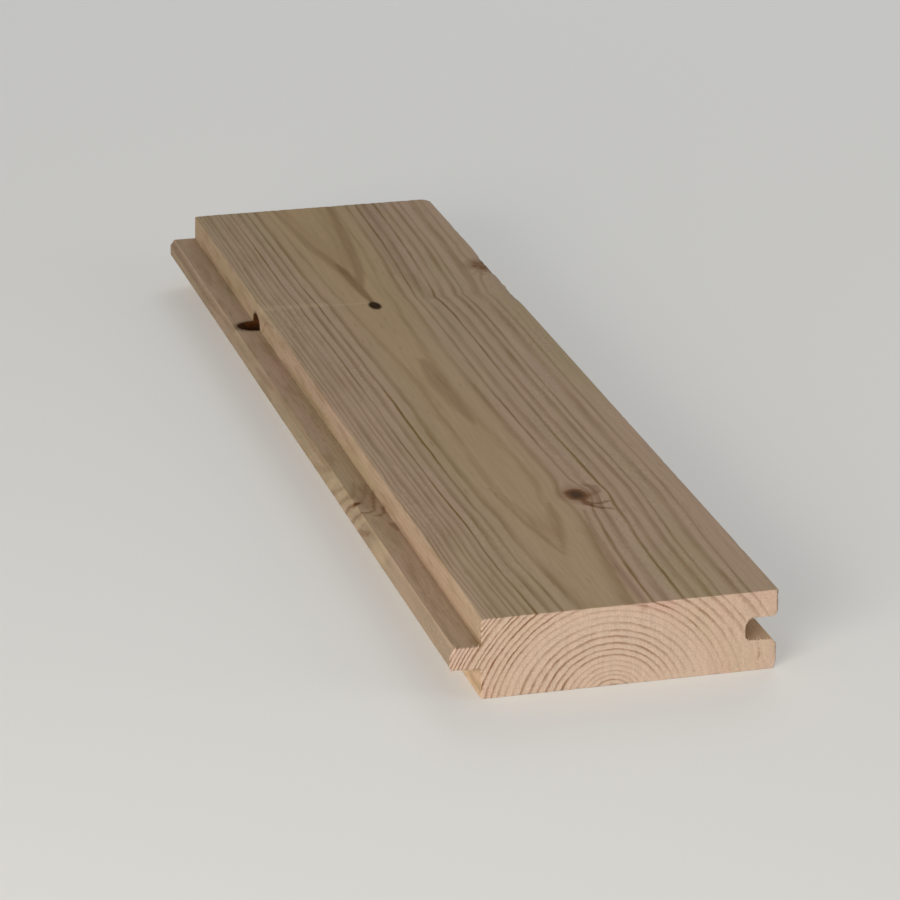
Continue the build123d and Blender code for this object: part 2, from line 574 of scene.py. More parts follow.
@dataclass(frozen=True)
class PineFinish:
    """Pine, and how one surface of it was made. Pale springwood turns gradually into the dark latewood of
    each year, which ends in a sharp line, and the fibres and resin canals run along the stem.

    Args:
        name: the material's name.
        early: springwood.
        late: latewood.
        rosy: springwood where it drifts to pink.
        olive: springwood where it drifts to green.
        core: springwood of the first years, round the pith.
        knot_heart: middle of a knot that is grown in.
        knot_rim: its outer rings.
        dead: dead knot wood and bark.
        resin_and_shade: wood soaked with resin, and the painted shade along the foot of the wall over the
            tongue.
        pale: crushed fibres.
        nose_grey: greyer, darker wood on the nose of the tongue.
        nose_greying: how far the nose of the tongue takes that colour.
        fresh_and_lit: springwood that no daylight has reached, in the groove and under the tongue, lighter
            also as painted light in these shaded recesses.
        late_start: share of a year's width at which the wood begins to darken, in a year of broad latewood.
        late_spread: how much later it begins in a year of thin latewood.
        late_full: share at which it is darkest.
        late_end: share at which it starts to turn pale again, towards the next year.
        late_depth: how far the latewood takes its full colour.
        late_on_tongue: share of that on the tongue and the wall over it.
        figure: how dark the cloudy figure is there.
        wander: how far, in years, a ring wanders over some centimetres.
        wobble: how far, in years, a ring wobbles from one centimetre to the next.
        fray: how far, in years, the fibres fray the edge of a ring.
        fibre_depth: how much the fibres vary in tone.
        roughness: of the surface.
        gloss: how much it reflects, where 0.5 is a sealed surface. Open pores and loose fibres reflect less.
        relief: depth of the fibres and rings, in mm.
    """

    name: str
    early: str
    late: str
    rosy: str
    olive: str
    core: str
    knot_heart: str = "#4c3527"
    knot_rim: str = "#7f5b3c"
    dead: str = "#2e1c05"
    resin_and_shade: str = "#6c4526"
    pale: str = "#d8c2a0"
    nose_grey: str = "#8f826f"
    nose_greying: float = 0.5
    fresh_and_lit: str = "#d0b496"
    late_start: float = 0.5
    late_spread: float = 0.1
    late_full: float = 0.93
    late_end: float = 0.94
    late_depth: float = 0.8
    late_on_tongue: float = 1.0
    figure: float = 0.0
    wander: float = 0.34
    wobble: float = 0.1
    fray: float = 0.08
    fibre_depth: float = 0.16
    roughness: float = 0.65
    gloss: float = 0.01
    relief: float = 0.02

    def finer(self, tree: bpy.types.NodeTree, fibre: bpy.types.NodeSocket, across: float, along: float,
              shift: float = 0.0, detail: float = 2.0) -> bpy.types.NodeSocket:
        """Mottling drawn out along the fibres.

        Args:
            tree: the material's nodes.
            fibre: place in the straightened wood, in mm.
            across: size of a patch across the fibres, in mm.
            along: its size along them, in mm.
            shift: sets one mottling apart from another.
            detail: how many finer layers it has.

        Returns:
            A value about 0.5.
        """
        scaled = add_node(tree, "VectorMath", {0: fibre, 1: (1 / across, 1 / along, 1 / across)},
                          operation="MULTIPLY")
        moved = add_node(tree, "VectorMath", {0: scaled.outputs[0], 1: (shift, 2 * shift, 3 * shift)},
                         operation="ADD")
        return add_node(tree, "TexNoise", {
            "Vector": moved.outputs[0], "Scale": 1.0, "Detail": detail, "Roughness": 0.55}).outputs[0]

    def patches(self, tree: bpy.types.NodeTree, fibre: bpy.types.NodeSocket, size: tuple[float, float],
                shift: float, window: tuple[float, float], tones: tuple[float, float] = (0.0, 1.0),
                rise: str = "LINEAR", detail: float = 2.0) -> bpy.types.NodeSocket:
        """Mottling drawn out along the fibres, as patches of one tone on another.

        Args:
            tree: the material's nodes.
            fibre: place in the straightened wood, in mm.
            size: of a patch across the fibres and along them, in mm.
            shift: sets one mottling apart from another.
            window: values of the mottling between which the first tone passes into the second.
            tones: the two tones.
            rise: how one passes into the other.
            detail: how many finer layers the mottling has.

        Returns:
            The tone.
        """
        mottling = self.finer(tree, fibre, size[0], size[1], shift, detail)
        return add_node(tree, "MapRange", {
            "Value": mottling, "From Min": window[0], "From Max": window[1], "To Min": tones[0],
            "To Max": tones[1]}, interpolation_type=rise).outputs[0]

    def marks(self, tree: bpy.types.NodeTree, fibre: bpy.types.NodeSocket,
              ring: bpy.types.NodeSocket) -> bpy.types.NodeSocket:
        """Tone, about 1, that the tool left on the surface. Each finish has its own."""
        raise NotImplementedError

    def year_bands(self, tree: bpy.types.NodeTree, fibre: bpy.types.NodeSocket,
                   read: dict[str, bpy.types.Node]) -> bpy.types.NodeSocket:
        """Draws the latewood of the year rings, and the cloudy figure of the tongue.

        Args:
            tree: the material's nodes.
            fibre: place in the straightened wood, in mm.
            read: the nodes that read the fields of the wood.

        Returns:
            How dark the latewood is, from 0 to 1.
        """
        number = read["ring"].outputs["Fac"]
        for across, along, shift, share in (
                (7.0, 70.0, 3.1, self.wander), (2.2, 13.0, 12.6, self.wobble), (0.8, 22.0, 8.3, self.fray)):
            number = add_node(tree, "Math", {
                0: self.finer(tree, fibre, across, along, shift), 1: share, 2: number},
                operation="MULTIPLY_ADD").outputs[0]
        number = add_node(tree, "Math", {0: number, 1: (self.wander + self.wobble + self.fray) / 2},
                          operation="SUBTRACT").outputs[0]
        phase = add_node(tree, "Math", {0: number}, operation="FRACT").outputs[0]
        year = add_node(tree, "Math", {0: number}, operation="FLOOR")
        season = add_node(tree, "TexWhiteNoise", {"W": year.outputs[0]}, noise_dimensions="1D").outputs[0]
        # The latewood of some years is broad, and of others thin.
        start = add_node(tree, "MapRange", {
            "Value": season, "To Min": self.late_start, "To Max": self.late_start + self.late_spread})
        darken = add_node(tree, "MapRange", {
            "Value": phase, "From Min": start.outputs[0], "From Max": self.late_full},
            interpolation_type="SMOOTHSTEP")
        ending = add_node(tree, "MapRange", {
            "Value": phase, "From Min": self.late_end, "From Max": 1.0, "To Min": 1.0, "To Max": 0.0})
        patchy = self.patches(tree, fibre, (5.0, 45.0), 9.4, (0.32, 0.66), (0.55, 1.25))
        yearly = add_node(tree, "MapRange", {"Value": season, "To Min": 0.62, "To Max": 1.15})
        tongue = read["tongue"].outputs["Fac"]
        depth = add_node(tree, "MapRange", {
            "Value": tongue, "To Min": self.late_depth, "To Max": self.late_depth * self.late_on_tongue})
        late = darken.outputs[0]
        for share in (ending.outputs[0], patchy, yearly.outputs[0], read["late"].outputs["Fac"]):
            late = add_node(tree, "Math", {0: late, 1: share}, operation="MULTIPLY").outputs[0]
        late = add_node(tree, "Math", {0: late, 1: depth.outputs[0]}, operation="MULTIPLY", use_clamp=True)
        figure = self.patches(tree, fibre, (4.0, 26.0), 14.2, (0.46, 0.7), (0.0, self.figure), "SMOOTHSTEP")
        return add_node(tree, "Math", {0: tongue, 1: figure, 2: late.outputs[0]},
                        operation="MULTIPLY_ADD", use_clamp=True).outputs[0]

    def wood_tones(self, tree: bpy.types.NodeTree, fibre: bpy.types.NodeSocket,
                   read: dict[str, bpy.types.Node], late: bpy.types.NodeSocket) -> list[tuple[Any, Any]]:
        """Draws the colours that lie over the springwood.

        Args:
            tree: the material's nodes.
            fibre: place in the straightened wood, in mm.
            read: the nodes that read the fields of the wood.
            late: how dark the latewood is.

        Returns:
            The share and the colour of each, with the lowest first.
        """
        # Slow drifts of colour over the board.
        pink = self.patches(tree, fibre, (26.0, 120.0), 1.7, (0.38, 0.66), rise="SMOOTHSTEP")
        green = self.patches(tree, fibre, (18.0, 150.0), 5.9, (0.42, 0.68), rise="SMOOTHSTEP")
        greyed = add_node(tree, "Math", {0: read["nose_grey"].outputs["Fac"], 1: self.nose_greying},
                          operation="MULTIPLY", use_clamp=True)
        # Resin canals are short brown dashes along the grain, and dots on the ends. Real ones are 0.1 to
        # 0.2 mm across, and these are 0.4 mm, so that they show.
        cells = add_node(tree, "VectorMath", {0: fibre, 1: (1 / 2.3, 1 / 24, 1 / 2.3)}, operation="MULTIPLY")
        canal = add_node(tree, "TexVoronoi", {"Vector": cells.outputs[0], "Scale": 1.0})
        dash = add_node(tree, "MapRange", {
            "Value": canal.outputs["Distance"], "From Min": 0.05, "From Max": 0.14, "To Min": 0.32,
            "To Max": 0.0})
        # Resin-soaked wood is darker and redder in streaks. The same colour paints shade along the foot of
        # the wall over the tongue.
        soaked_and_shaded = self.patches(tree, fibre, (0.7, 18.0), 6.6, (0.3, 0.6), (0.75, 1.0))
        soaked_and_shaded = add_node(tree, "Math", {0: soaked_and_shaded, 1: read["resin_and_shade"].outputs["Fac"]}, operation="MULTIPLY")
        crushed = add_node(tree, "Math", {0: read["pale"].outputs["Fac"], 1: 0.6}, operation="MULTIPLY")
        return [
            (pink, linear(self.rosy)),
            (green, linear(self.olive)),
            (read["core"].outputs["Fac"], linear(self.core)),
            (read["fresh_and_lit"].outputs["Fac"], linear(self.fresh_and_lit)),
            (late, linear(self.late)),
            (greyed.outputs[0], linear(self.nose_grey)),
            (dash.outputs[0], linear(self.late)),
            (soaked_and_shaded.outputs[0], linear(self.resin_and_shade)),
            (crushed.outputs[0], linear(self.pale)),
        ]

    def knot_tones(self, tree: bpy.types.NodeTree, fibre: bpy.types.NodeSocket,
                   read: dict[str, bpy.types.Node]) -> list[tuple[Any, Any]]:
        """Draws the colours of the knots, which lie over the wood.

        Args:
            tree: the material's nodes.
            fibre: place in the straightened wood, in mm.
            read: the nodes that read the fields of the wood.

        Returns:
            The share and the colour of each, with the lowest first.
        """
        # A knot that is grown in has its own close rings, a reddish rim and a stain in the wood around it.
        grown = read["grown"].outputs["Fac"]
        stain = add_node(tree, "MapRange", {
            "Value": grown, "From Min": 0.9, "From Max": 2.1, "To Min": 0.42, "To Max": 0.0},
            interpolation_type="SMOOTHSTEP")
        uneven = add_node(tree, "Math", {
            0: self.finer(tree, fibre, 1.1, 2.0, 4.2, 3.0), 1: 0.55, 2: grown}, operation="MULTIPLY_ADD")
        heart = add_node(tree, "MapRange", {
            "Value": uneven.outputs[0], "From Min": 0.55, "From Max": 1.35}, interpolation_type="SMOOTHSTEP")
        knot = add_node(tree, "Mix", {
            "Factor": heart.outputs[0], "A": linear(self.knot_heart), "B": linear(self.knot_rim)},
            data_type="RGBA")
        inside = add_node(tree, "MapRange", {
            "Value": uneven.outputs[0], "From Min": 1.05, "From Max": 1.45, "To Min": 0.92, "To Max": 0.0},
            interpolation_type="SMOOTHSTEP")
        # A dead knot is black to its edge.
        ragged = add_node(tree, "Math", {
            0: self.finer(tree, fibre, 0.9, 3.0, 7.7, 3.0), 1: 0.3, 2: read["dead"].outputs["Fac"]},
            operation="MULTIPLY_ADD")
        black = add_node(tree, "MapRange", {
            "Value": ragged.outputs[0], "From Min": 0.9, "From Max": 1.45, "To Min": 0.97, "To Max": 0.0},
            interpolation_type="SMOOTHSTEP")
        return [
            (stain.outputs[0], linear(self.knot_rim)),
            (inside.outputs[0], knot.outputs["Result"]),
            (black.outputs[0], linear(self.dead)),
        ]

    def material(self) -> bpy.types.Material:
        """Builds the material.

        Returns:
            The material, which reads the fields of the wood from the mesh.
        """
        material, tree = new_material(self.name)
        names = ("ring", "fibre", "late", "core", "tongue", "nose_grey", "fresh_and_lit", "grown", "dead", "resin_and_shade",
                 "pale")
        read = {name: add_node(tree, "Attribute", attribute_name=name) for name in names}
        fibre = read["fibre"].outputs["Vector"]
        late = self.year_bands(tree, fibre, read)
        colour: Any = linear(self.early)
        for share, over in self.wood_tones(tree, fibre, read, late) + self.knot_tones(tree, fibre, read):
            colour = add_node(tree, "Mix", {"Factor": share, "A": colour, "B": over},
                              data_type="RGBA").outputs["Result"]
        # Fibres are about 0.03 mm thick, too fine to show, and are drawn as bundles of 0.35 mm and 1.6 mm.
        fine = self.finer(tree, fibre, 0.35, 14.0, 0.4, 3.0)
        broad = self.finer(tree, fibre, 1.6, 70.0, 2.6, 3.0)
        both = add_node(tree, "Math", {0: fine, 1: broad}, operation="ADD")
        tone = add_node(tree, "MapRange", {
            "Value": both.outputs[0], "From Min": 0.5, "From Max": 1.5, "To Min": 1 - self.fibre_depth,
            "To Max": 1 + self.fibre_depth})
        for shade in (tone.outputs[0], self.marks(tree, fibre, read["ring"].outputs["Fac"])):
            colour = add_node(tree, "VectorMath", {0: colour, "Scale": shade}, operation="SCALE").outputs[0]
        height = add_node(tree, "Math", {0: late, 1: 0.8, 2: fine}, operation="MULTIPLY_ADD")
        bump = add_node(tree, "Bump", {
            "Strength": 0.6, "Distance": self.relief * MM, "Height": height.outputs[0]})
        shader = add_node(tree, "BsdfPrincipled", {
            "Base Color": colour, "Roughness": self.roughness, "IOR": 1.5, "Specular IOR Level": self.gloss,
            "Normal": bump.outputs[0]})
        add_node(tree, "OutputMaterial", {"Surface": shader.outputs[0]})
        return material


@dataclass(frozen=True)
class PlanedPine(PineFinish):
    """Planed and moulded along the grain: smooth, with a dull gleam. It greys towards olive in the air."""

    name: str = "planed_pine"
    early: str = "#baa28a"
    late: str = "#80663a"
    rosy: str = "#baa08b"
    olive: str = "#b3a082"
    core: str = "#b79f7c"
    late_start: float = 0.16
    late_spread: float = 0.5
    late_full: float = 0.8
    late_end: float = 0.82
    late_depth: float = 0.68
    late_on_tongue: float = 0.15
    figure: float = 0.28
    wobble: float = 0.16
    fray: float = 0.16
    fibre_depth: float = 0.12

    def marks(self, tree: bpy.types.NodeTree, fibre: bpy.types.NodeSocket,
              ring: bpy.types.NodeSocket) -> bpy.types.NodeSocket:
        """Torn grain: in patches of the outer rings the cutter lifted the fibres, in ticks about 2 mm long.

        Args:
            tree: the material's nodes.
            fibre: place in the straightened wood, in mm.
            ring: number of the year ring.

        Returns:
            Tone, about 1.
        """
        ticks = self.patches(tree, fibre, (0.8, 2.4), 16.1, (0.3, 0.7), (-0.08, 0.08), detail=1.0)
        torn = self.patches(tree, fibre, (9.0, 60.0), 18.4, (0.45, 0.62))
        outer = add_node(tree, "MapRange", {"Value": ring, "From Min": 16.0, "From Max": 19.0})
        torn = add_node(tree, "Math", {0: torn, 1: outer.outputs[0]}, operation="MULTIPLY")
        return add_node(tree, "Math", {0: ticks, 1: torn.outputs[0], 2: 1.0},
                        operation="MULTIPLY_ADD").outputs[0]


@dataclass(frozen=True)
class SawnEndGrain(PineFinish):
    """Cross-cut with a fine saw: matt and open-pored, with crisp year rings, and fresh pink-tan."""

    name: str = "sawn_end_grain"
    early: str = "#c9af9d"
    late: str = "#89664e"
    rosy: str = "#caaa9a"
    olive: str = "#c6b09b"
    core: str = "#c8b29f"
    resin_and_shade: str = "#8a6248"
    nose_greying: float = 0.0
    fresh_and_lit: str = "#c9b19d"
    late_start: float = 0.38
    late_full: float = 0.84
    late_end: float = 0.9
    late_depth: float = 0.68
    late_on_tongue: float = 1.1
    wobble: float = 0.05
    fray: float = 0.22
    fibre_depth: float = 0.12
    roughness: float = 0.85
    relief: float = 0.12

    def marks(self, tree: bpy.types.NodeTree, fibre: bpy.types.NodeSocket,
              ring: bpy.types.NodeSocket) -> bpy.types.NodeSocket:
        """Upright saw strokes, which the teeth leave about 0.3 mm apart, and the fuzz of cut fibre ends.

        Args:
            tree: the material's nodes.
            fibre: place in the straightened wood, in mm.
            ring: number of the year ring. Not used: the saw took no notice of it.

        Returns:
            Tone, about 1.
        """
        # The strokes are drawn 0.8 mm apart, so that they show, and the fuzz in tufts of 0.6 mm.
        stroke, fuzz = (add_node(tree, "TexNoise", {
            "Vector": add_node(tree, "VectorMath", {0: fibre, 1: (1 / wide, 0.0, 1 / high)},
                               operation="MULTIPLY").outputs[0], "Scale": 1.0, "Detail": 2.0}).outputs[0]
            for wide, high in ((0.8, 16.0), (0.6, 0.6)))
        both = add_node(tree, "Math", {0: stroke, 1: 0.35, 2: fuzz}, operation="MULTIPLY_ADD")
        return add_node(tree, "MapRange", {
            "Value": both.outputs[0], "From Min": 0.4, "From Max": 0.95, "To Min": 0.87,
            "To Max": 1.13}).outputs[0]


@dataclass(frozen=True)
class BarkLinedHole:
    """Dead branch bark and torn wood, left when the knot fell out: dull dark brown, redder where torn.

    Args:
        name: the material's name.
        bark: the branch's bark.
        torn: wood that was torn open when the knot fell out.
        roughness: of both.
        gloss: how much they reflect.
    """

    name: str = "bark_lined_hole"
    bark: str = "#3f2b18"
    torn: str = "#573118"
    roughness: float = 0.9
    gloss: float = 0.02

    def material(self) -> bpy.types.Material:
        """Builds the material.

        Returns:
            The material, which reads the place in the wood from the mesh.
        """
        material, tree = new_material(self.name)
        fibre = add_node(tree, "Attribute", attribute_name="fibre").outputs["Vector"]
        # Patches of about 3 mm, where the bark came away with the knot.
        flakes = add_node(tree, "TexNoise", {"Vector": fibre, "Scale": 1 / 3, "Detail": 3.0})
        torn = add_node(tree, "MapRange", {
            "Value": flakes.outputs[0], "From Min": 0.35, "From Max": 0.65}, interpolation_type="SMOOTHSTEP")
        colour = add_node(tree, "Mix", {
            "Factor": torn.outputs[0], "A": linear(self.bark), "B": linear(self.torn)}, data_type="RGBA")
        bump = add_node(tree, "Bump", {"Strength": 0.8, "Distance": 0.3 * MM, "Height": flakes.outputs[0]})
        shader = add_node(tree, "BsdfPrincipled", {
            "Base Color": colour.outputs["Result"], "Roughness": self.roughness, "IOR": 1.5,
            "Specular IOR Level": self.gloss, "Normal": bump.outputs[0]})
        add_node(tree, "OutputMaterial", {"Surface": shader.outputs[0]})
        return material


@dataclass(frozen=True)
class MattPaint:
    """Flat matt paint on a studio floor: even and pale, so that only the shadow of the board shows on it.

    Args:
        name: the material's name.
        colour: of the paint.
        roughness: of the paint.
        paler: what the camera sees added to it, where 1 is white. It lights nothing.
    """

    name: str = "matt_floor_paint"
    colour: str = "#d9d9d6"
    roughness: float = 0.9
    paler: float = 0.3

    def material(self) -> bpy.types.Material:
        """Builds the material.

        Returns:
            The material.
        """
        material, tree = new_material(self.name)
        path = add_node(tree, "LightPath")
        paler = add_node(tree, "Math", {0: path.outputs["Is Camera Ray"], 1: self.paler},
                         operation="MULTIPLY")
        seen = add_node(tree, "Emission", {"Color": linear(self.colour), "Strength": paler.outputs[0]})
        paint = add_node(tree, "BsdfPrincipled", {
            "Base Color": linear(self.colour), "Roughness": self.roughness, "Specular IOR Level": 0.2})
        both = add_node(tree, "AddShader", {0: paint.outputs[0], 1: seen.outputs[0]})
        add_node(tree, "OutputMaterial", {"Surface": both.outputs[0]})
        return material


# Numbers of the finishes on the board.
PLANED, SAWN, TORN = range(3)


@dataclass
class Moulding:
    """Cross-section of the board as the moulder cut it, read from the near end of the CAD board.

    Args:
        face_step: longest step round the outline on the face.
        edge_step: longest step on the tongue and in the groove.
        base_step: longest step on the underside.
    """

    face_step: float = 0.7
    edge_step: float = 0.9
    base_step: float = 3.0
    outline: np.ndarray = field(init=False)
    inwards: np.ndarray = field(init=False)

    def __post_init__(self) -> None:
        """Reads the corners and divides the runs between them."""
        corners = self.corners(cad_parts["floorboard"].data)
        points = []
        for a, b in zip(corners, np.roll(corners, -1, axis=0)):
            if min(a[1], b[1]) > THICKNESS - 0.1:
                step = self.face_step
            elif max(a[1], b[1]) < 0.1:
                step = self.base_step
            else:
                step = self.edge_step
            count = max(1, math.ceil(np.linalg.norm(b - a) / step))
            points += [a + (b - a) * k / count for k in range(count)]
        self.outline = np.array(points)
        after = np.roll(self.outline, -1, axis=0) - self.outline
        after /= np.linalg.norm(after, axis=1)[:, None]
        inward = np.stack([-after[:, 1], after[:, 0]], axis=1)
        inward = inward + np.roll(inward, 1, axis=0)
        self.inwards = inward / np.linalg.norm(inward, axis=1)[:, None]

    @staticmethod
    def corners(mesh: bpy.types.Mesh) -> np.ndarray:
        """Corners of the near end, in order.

        Args:
            mesh: the CAD board.

        Returns:
            Rows of (x, z), counter-clockwise as seen from the near end.
        """
        places = np.array([v.co for v in mesh.vertices]) / MM
        near = places[:, 1].min() + 0.01
        # A side that two faces of the end share isn't part of its outline.
        sides: set[tuple[tuple[float, float], tuple[float, float]]] = set()
        for polygon in mesh.polygons:
            ids = list(polygon.vertices)
            if all(places[i][1] < near for i in ids):
                ring = [(round(places[i][0], 3), round(places[i][2], 3)) for i in ids]
                for a, b in zip(ring, ring[1:] + ring[:1]):
                    if (b, a) in sides:
                        sides.remove((b, a))
                    else:
                        sides.add((a, b))
        following = dict(sides)
        start = min(following)
        chain, here = [start], following[start]
        while here != start:
            chain.append(here)
            here = following[here]
        return np.array(chain)

    def distance(self, flat: np.ndarray) -> tuple[np.ndarray, np.ndarray]:
        """How far points of the section lie inside the outline.

        Args:
            flat: rows of (x, z).

        Returns:
            The distance, and the inward direction at the nearest place of the outline.
        """
        a = self.outline
        run = np.roll(a, -1, axis=0) - a
        offset = flat[:, None, :] - a[None]
        t = np.clip((offset * run).sum(-1) / (run * run).sum(-1), 0, 1)
        away = np.linalg.norm(offset - t[..., None] * run, axis=-1)
        nearest = away.argmin(axis=1)
        return away[np.arange(len(flat)), nearest], self.inwards[nearest]


@dataclass
class Floorboard:
    """The board: one moulded length of pine, sawn off at both ends, with the hole of a lost knot.

    Args:
        stem: the wood that it was cut from.
        moulding: its section.
        near_end: place of the near end along the grain.
        far_end: place of the far end.
        end_steps: distances of the closer rows from each end.
        row_step: longest step along the grain.
        knot_rows: stretches beside the knots, as (from, to, longest step).
        grain_step: distance between the points inside the sawn ends.
        waviness: how far the planed surfaces lie below true.
        ring_relief: how far springwood lies below latewood.
        dulled_arris: how far the arrises of the face are worn down all along.
        nick_depth: what a nick there adds, for each unit of unevenness.
        torn_arris: how far the groove-side arris is torn down beside the edge knot.
        saw_marks: depth of the saw's strokes, and of the fuzz between them.
        worn_arris: size of the worn edge round the sawn ends.
        broken_corner: what is added to that beside the groove, at the near end.
        knocked_corner: size of the far corner that was knocked off beside the groove.
        splinter_count: how many slivers the saw left round the near end.
        knot_bottom: how the lost knot's hole closes, as (distance outwards, share of its full width).
        knot_mouth: how far outwards the space of the lost knot reaches.
    """

    stem: Stem
    moulding: Moulding
    near_end: float = -HALF_LENGTH
    far_end: float = HALF_LENGTH
    end_steps: tuple[float, ...] = (0.0, 0.15, 0.35, 0.7, 1.2, 2.0, 3.2)
    row_step: float = 4.6
    knot_rows: tuple[tuple[float, float, float], ...] = (
        (-152.0, -142.0, 1.4), (-142.0, -122.0, 0.8), (-122.0, -108.0, 1.0), (-108.0, -70.0, 0.7),
        (-70.0, -50.0, 1.4), (76.0, 86.0, 1.6), (86.0, 99.0, 0.9), (99.0, 140.0, 1.7))
    grain_step: float = 0.8
    waviness: float = 0.05
    ring_relief: float = 0.015
    dulled_arris: float = 0.08
    nick_depth: float = 0.35
    torn_arris: float = 0.75
    saw_marks: tuple[float, float] = (0.05, 0.04)
    worn_arris: float = 0.2
    broken_corner: float = 0.75
    knocked_corner: float = 3.4
    splinter_count: int = 110
    knot_bottom: tuple[tuple[float, float], ...] = (
        (-13.6, 0.35), (-13.2, 0.6), (-12.4, 0.8), (-11.2, 0.93), (-10.0, 1.0))
    knot_mouth: float = 12.1

    def rows(self) -> np.ndarray:
        """Places the cross-sections, closer near the ends and the knots.

        Returns:
            Their places along the grain.
        """
        places = [self.near_end + step for step in self.end_steps]
        while places[-1] < self.far_end - 5.5:
            here = places[-1]
            steps = [step for a, b, step in self.knot_rows if a <= here < b] + [self.row_step]
            places.append(here + steps[0])
        last = [self.far_end - step for step in self.end_steps[::-1]]
        return np.array([place for place in places if place < last[0] - 1.0] + last)

    def sawn_end(self, first: int, at: float, facing_near: bool,
                 offset: int) -> tuple[np.ndarray, list[tuple[int, ...]]]:
        """Fills an end with an even net of triangles.

        Args:
            first: number of the first vertex of the body's row at this end.
            at: place of the end along the grain.
            facing_near: whether the end faces the near side.
            offset: number that the first new vertex gets.

        Returns:
            The new vertices, and the triangles.
        """
        outline, inwards = self.moulding.outline, self.moulding.inwards
        rng = np.random.default_rng(41 if facing_near else 42)
        # An even net of triangles, whose rows lie 0.866 of a step apart, shaken a little.
        step = self.grain_step
        xs, zs = np.meshgrid(np.arange(-HALF_WIDTH, HALF_WIDTH, step), np.arange(0, THICKNESS, step * 0.866))
        xs = xs + (np.arange(len(zs)) % 2)[:, None] * step / 2
        net = np.stack([xs.ravel(), zs.ravel()], axis=1)
        net = net + rng.uniform(-0.12, 0.12, net.shape)
        away, _ = self.moulding.distance(net)
        # A second outline 0.3 mm inside the first holds the worn edge, and the net begins clear of it.
        points = np.vstack([outline, outline + inwards * 0.3, net[away > 0.62]])
        count = len(outline)
        edges = [(i, (i + 1) % count) for i in range(count)]
        made, _, triangles, sources, _, _ = delaunay_2d_cdt([Vector(p) for p in points], edges, [], 1, 1e-6)
        # New vertices keep their order, and each outline point stays the body's own vertex.
        number = {}
        added = []
        for i, source in enumerate(sources):
            if source and source[0] < count:
                number[i] = first + source[0]
            else:
                number[i] = offset + len(added)
                added.append((made[i].x, at, made[i].y))
        faces = [tuple(number[v] for v in t) for t in triangles]
        if not facing_near:
            faces = [f[::-1] for f in faces]
        return np.array(added), faces

    def below_true(self, places: np.ndarray) -> np.ndarray:
        """Works out how far planing, handling and drying left the moulded surfaces below true.

        Args:
            places: points of the true shape.

        Returns:
            The distance at each point.
        """
        x, y, z = places.T
        phase = self.stem.fields(places)["ring"] % 1.0
        spring = 1 - smoothstep(phase, 0.5, 0.9) * (1 - smoothstep(phase, 0.95, 1.0))
        low = self.waviness * (0.5 + 0.5 * ripple(places, (70, 180, 70), 3)) + self.ring_relief * spring
        # Nicks and dents along the two arrises of the face.
        beside = np.exp(-((x - WALL) / 0.9) ** 2) + np.exp(-((x - HALF_WIDTH) / 0.9) ** 2)
        nicks = np.maximum(ripple(places, (40, 9, 40), 8) - 0.75, 0) * self.nick_depth
        low = low + np.exp(-((THICKNESS - z) / 1.2) ** 2) * beside * (self.dulled_arris + nicks)
        # The groove-side arris is torn where the edge knot comes out.
        corner = np.exp(-((x - HALF_WIDTH) / 2.2) ** 2 - ((z - THICKNESS) / 2.6) ** 2)
        stretch = smoothstep(y, 78, 96) * (1 - smoothstep(y, 138, 156))
        low = low + self.torn_arris * corner * stretch * (0.75 + 0.35 * ripple(places, (9, 7, 9), 5))
        return np.maximum(low, 0)

    def wear(self, places: np.ndarray, inward: np.ndarray, depth: np.ndarray) -> np.ndarray:
        """Moves the points of the true shape to where planing, sawing, handling and drying left them.

        Args:
            places: points of the true shape.
            inward: inward direction across the board at each point.
            depth: distance of each point from the outline of the section.

        Returns:
            The new points, none of them outside the true shape.
        """
        x, y, z = places.T
        moved = places.copy()
        on_side = smoothstep(-depth, -0.05, 0.0)
        moved[:, [0, 2]] += inward * (self.below_true(places) * on_side)[:, None]
        # The sawn ends: saw marks, and worn arrises that are broken further beside the groove.
        strokes = 1 + ripple(places, (2.2, 50, 18), 11)
        fuzz = 1 + ripple(places, (1.3, 50, 1.3), 12)
        marks = np.maximum(self.saw_marks[0] * strokes + self.saw_marks[1] * fuzz, 0)
        worn = np.maximum(self.worn_arris * (1.1 + 0.8 * ripple(places, (5, 60, 5), 17)), 0.06)
        crumbled = smoothstep(x, HALF_WIDTH - 1.8, HALF_WIDTH)
        crumbled = crumbled * (self.broken_corner + 0.35 * ripple(places, (4, 60, 4), 19))
        for end, towards, size in ((self.near_end, 1.0, worn + crumbled), (self.far_end, -1.0, worn)):
            from_end = np.abs(y - end)
            moved[:, 1] += towards * marks * (from_end < 1e-6) * smoothstep(depth, 0.0, 0.4)
            broken = np.maximum(size - from_end - depth, 0)
            moved[:, 1] += towards * 0.5 * broken
            moved[:, [0, 2]] += inward * (0.5 * broken)[:, None]
        # The far corner beside the groove was knocked.
        inside = (HALF_WIDTH - x) + (self.far_end - y) + 0.8 * (THICKNESS - z)
        moved -= np.maximum(self.knocked_corner - inside, 0)[:, None] * np.array([0.34, 0.34, 0.3])
        return moved

    def body(self) -> bpy.types.Mesh:
        """The moulded length with its two sawn ends, as one closed mesh.

        Returns:
            The mesh, in metres.
        """
        outline, inwards = self.moulding.outline, self.moulding.inwards
        rows = self.rows()
        count, last = len(outline), len(rows) - 1
        places = np.array([[x, y, z] for y in rows for x, z in outline])
        faces = tube_faces(len(rows), count)
        near, near_faces = self.sawn_end(0, self.near_end, True, len(places))
        far, far_faces = self.sawn_end(last * count, self.far_end, False, len(places) + len(near))
        depth = np.zeros(len(places) + len(near) + len(far))
        inward = np.tile(inwards, (len(rows), 1))
        for end in (near, far):
            away, direction = self.moulding.distance(end[:, [0, 2]])
            depth[len(places):len(places) + len(end)] = away
            places = np.vstack([places, end])
            inward = np.vstack([inward, direction])
        faces += near_faces + far_faces
        places = self.wear(places, inward, depth)
        mesh = bpy.data.meshes.new("floorboard_body")
        mesh.from_pydata((places * MM).tolist(), [], faces)
        mesh.validate()
        return mesh

